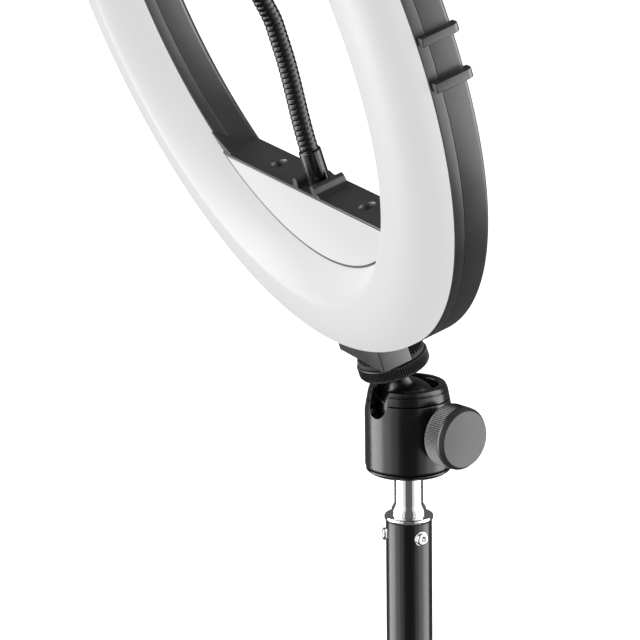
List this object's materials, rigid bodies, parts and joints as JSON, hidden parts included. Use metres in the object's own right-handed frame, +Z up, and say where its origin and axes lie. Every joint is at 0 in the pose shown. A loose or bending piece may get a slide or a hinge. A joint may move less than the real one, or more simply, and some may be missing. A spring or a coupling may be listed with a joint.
{
  "type": "ring light",
  "caption": "Ring light with an opal diffuser, phone clamp on a gooseneck and a ball head, on a telescopic stand whose three legs fold up along the column.",
  "frame": {"origin": "centre of the underside of the column cap, on the axis of the stand column", "axes": "+Z up along the column, -Y towards the front, where the diffuser faces, +X to the right of someone facing the same way as +Y"},
  "size_m": [0.4306, 0.3753, 0.9436],
  "materials": {
    "black_shell": "satin moulded black",
    "black_knob": "satin black, knurled",
    "opal_diffuser": "opal white, soft sheen",
    "white_plate": "white, semi-gloss",
    "circuit_board": "green solder mask",
    "brass": "turned",
    "steel": "zinc plated",
    "black_chrome": "black chrome plated",
    "chrome": "bright plated",
    "gloss_black_metal": "black anodised, semi-gloss",
    "nylon": "matt",
    "rubber": "matt",
    "tube_black": "black powder coat, satin",
    "collar_black": "matt moulded black",
    "brace_black": "black anodised"
  },
  "bodies": {
    "base": {"base_tube": "tube_black", "column_cap": "rubber", "leg_hub": "collar_black", "lower_collar": "collar_black"},
    "lower_collar_knob": {"lower_collar_knob": "black_knob"},
    "mid": {"mid_tube": "tube_black", "upper_collar": "collar_black"},
    "upper_collar_knob": {"upper_collar_knob": "black_knob"},
    "top": {"top_tube": "tube_black", "spigot": "chrome", "tube_rivet_front": "chrome", "tube_rivet_rear": "chrome", "tube_rivet_side": "chrome", "head_base_plate": "gloss_black_metal"},
    "head": {"head_body": "gloss_black_metal", "head_collar": "gloss_black_metal", "ball_seat": "nylon"},
    "lock": {"lock_knob": "black_knob", "lock_screw": "steel"},
    "stud": {"ball_stud": "gloss_black_metal"},
    "wheel": {"platform_wheel": "black_knob", "platform_pad": "rubber"},
    "light": {"rear_housing": "black_shell", "front_frame": "black_shell", "diffuser": "opal_diffuser", "front_plate": "white_plate", "led_board": "circuit_board", "control_board": "circuit_board", "power_socket": "black_shell", "thread_insert": "brass", "shelf_screw_left": "steel", "shelf_screw_right": "steel", "rear_screw_left": "steel", "rear_screw_right": "steel", "gooseneck_ferrule": "black_chrome", "gooseneck_lower": "black_chrome"},
    "power_switch": {"power_switch": "black_shell"},
    "brightness_knob": {"brightness_knob": "black_knob"},
    "colour_knob": {"colour_knob": "black_knob"},
    "neck_upper": {"gooseneck_upper": "black_chrome", "gooseneck_collar": "black_chrome", "holder_ball": "chrome"},
    "holder": {"holder_socket": "black_shell"},
    "holder_lock_ring": {"holder_lock_ring": "black_knob"},
    "clamp": {"clamp_body": "black_shell", "clamp_pad_fixed": "rubber", "clamp_spring": "steel"},
    "jaw": {"clamp_jaw": "black_shell", "clamp_pad_moving": "rubber"},
    "leg_slider": {"leg_slider": "collar_black"},
    "leg_lock_knob": {"leg_lock_knob": "black_knob"},
    "leg_rear": {"leg_rear": "tube_black", "foot_rear": "rubber"},
    "brace_rear": {"brace_rear": "brace_black"},
    "leg_left": {"leg_left": "tube_black", "foot_left": "rubber"},
    "brace_left": {"brace_left": "brace_black"},
    "leg_right": {"leg_right": "tube_black", "foot_right": "rubber"},
    "brace_right": {"brace_right": "brace_black"}
  },
  "joints": [
    {"name": "mid_tube_slide", "type": "slide", "parent": "base", "child": "mid", "axis": [0, 0, 1], "range_m": [0, 0.288]},
    {"name": "top_tube_slide", "type": "slide", "parent": "mid", "child": "top", "axis": [0, 0, 1], "range_m": [-0.07, 0.27]},
    {"name": "lower_collar_knob_turn", "type": "hinge", "parent": "base", "child": "lower_collar_knob", "pos_m": [0, 0, 0.464], "axis": [1, 0, 0], "range_deg": [0, 450]},
    {"name": "upper_collar_knob_turn", "type": "hinge", "parent": "mid", "child": "upper_collar_knob", "pos_m": [0, 0, 0.506], "axis": [1, 0, 0], "range_deg": [0, 450]},
    {"name": "leg_fold", "type": "slide", "parent": "base", "child": "leg_slider", "axis": [0, 0, 1], "range_m": [0, 0.07124]},
    {"name": "leg_lock_knob_turn", "type": "hinge", "parent": "leg_slider", "child": "leg_lock_knob", "pos_m": [0, 0, 0.24208], "axis": [0.866, 0.5, 0], "range_deg": [0, 450]},
    {"name": "leg_rear_swing", "type": "hinge", "parent": "leg_slider", "child": "leg_rear", "pos_m": [0, 0.022, 0.22808], "axis": [-1, 0, 0], "range_deg": [0, 38.1]},
    {"name": "brace_rear_swing", "type": "hinge", "parent": "base", "child": "brace_rear", "pos_m": [0, 0.022, 0.02], "axis": [-1, 0, 0], "range_deg": [-38.1, 0]},
    {"name": "leg_left_swing", "type": "hinge", "parent": "leg_slider", "child": "leg_left", "pos_m": [-0.01905, -0.011, 0.22808], "axis": [0.5, -0.866, 0], "range_deg": [0, 38.1]},
    {"name": "brace_left_swing", "type": "hinge", "parent": "base", "child": "brace_left", "pos_m": [-0.01905, -0.011, 0.02], "axis": [0.5, -0.866, 0], "range_deg": [-38.1, 0]},
    {"name": "leg_right_swing", "type": "hinge", "parent": "leg_slider", "child": "leg_right", "pos_m": [0.01905, -0.011, 0.22808], "axis": [0.5, 0.866, 0], "range_deg": [0, 38.1]},
    {"name": "brace_right_swing", "type": "hinge", "parent": "base", "child": "brace_right", "pos_m": [0.01905, -0.011, 0.02], "axis": [0.5, 0.866, 0], "range_deg": [-38.1, 0]},
    {"name": "head_pan", "type": "hinge", "parent": "top", "child": "head", "pos_m": [0, 0, 0.644], "axis": [0, 0, 1], "continuous": true},
    {"name": "lock_knob_turn", "type": "hinge", "parent": "head", "child": "lock", "pos_m": [0, 0, 0.6391], "axis": [0.9659, 0.2588, 0], "range_deg": [0, 450]},
    {"name": "ball_tilt", "type": "hinge", "parent": "head", "child": "stud", "pos_m": [0, 0, 0.644], "axis": [1, 0, 0], "range_deg": [-47.5, 12]},
    {"name": "wheel_spin", "type": "hinge", "parent": "stud", "child": "wheel", "pos_m": [0, 0, 0.644], "axis": [0, -0.3074, 0.9516], "continuous": true},
    {"name": "light_turn", "type": "hinge", "parent": "stud", "child": "light", "pos_m": [0, 0, 0.644], "axis": [0, -0.3074, 0.9516], "continuous": true},
    {"name": "power_switch_rock", "type": "hinge", "parent": "light", "child": "power_switch", "pos_m": [0, -0.02179, 0.71635], "axis": [1, 0, 0], "range_deg": [-7, 7]},
    {"name": "brightness_turn", "type": "hinge", "parent": "light", "child": "brightness_knob", "pos_m": [0.027, -0.01713, 0.71786], "axis": [0, 0.9516, 0.3074], "range_deg": [-140, 140]},
    {"name": "colour_turn", "type": "hinge", "parent": "light", "child": "colour_knob", "pos_m": [-0.027, -0.01713, 0.71786], "axis": [0, 0.9516, 0.3074], "range_deg": [-140, 140]},
    {"name": "gooseneck_bend", "type": "hinge", "parent": "light", "child": "neck_upper", "pos_m": [0, -0.04619, 0.76943], "axis": [1, 0, 0], "range_deg": [-60, 60]},
    {"name": "holder_tilt", "type": "hinge", "parent": "neck_upper", "child": "holder", "pos_m": [0, -0.06125, 0.81605], "axis": [1, 0, 0], "range_deg": [-20, 20]},
    {"name": "lock_ring_turn", "type": "hinge", "parent": "holder", "child": "holder_lock_ring", "pos_m": [0, -0.06002, 0.81225], "axis": [0, -0.3074, 0.9516], "range_deg": [0, 360]},
    {"name": "clamp_turn", "type": "hinge", "parent": "holder", "child": "clamp", "pos_m": [0, -0.07971, 0.82375], "axis": [0, 0.9516, 0.3074], "continuous": true},
    {"name": "clamp_slide", "type": "slide", "parent": "clamp", "child": "jaw", "axis": [1, 0, 0], "range_m": [0, 0.035], "stiffness_N_per_m": 60, "springref_m": -0.02}
  ],
  "couplings": [
    {"joint": "leg_rear_swing", "follows": "leg_fold", "rad_per_m": 9.3097},
    {"joint": "brace_rear_swing", "follows": "leg_fold", "rad_per_m": -9.3097},
    {"joint": "leg_left_swing", "follows": "leg_fold", "rad_per_m": 9.3097},
    {"joint": "brace_left_swing", "follows": "leg_fold", "rad_per_m": -9.3097},
    {"joint": "leg_right_swing", "follows": "leg_fold", "rad_per_m": 9.3097},
    {"joint": "brace_right_swing", "follows": "leg_fold", "rad_per_m": -9.3097}
  ]
}
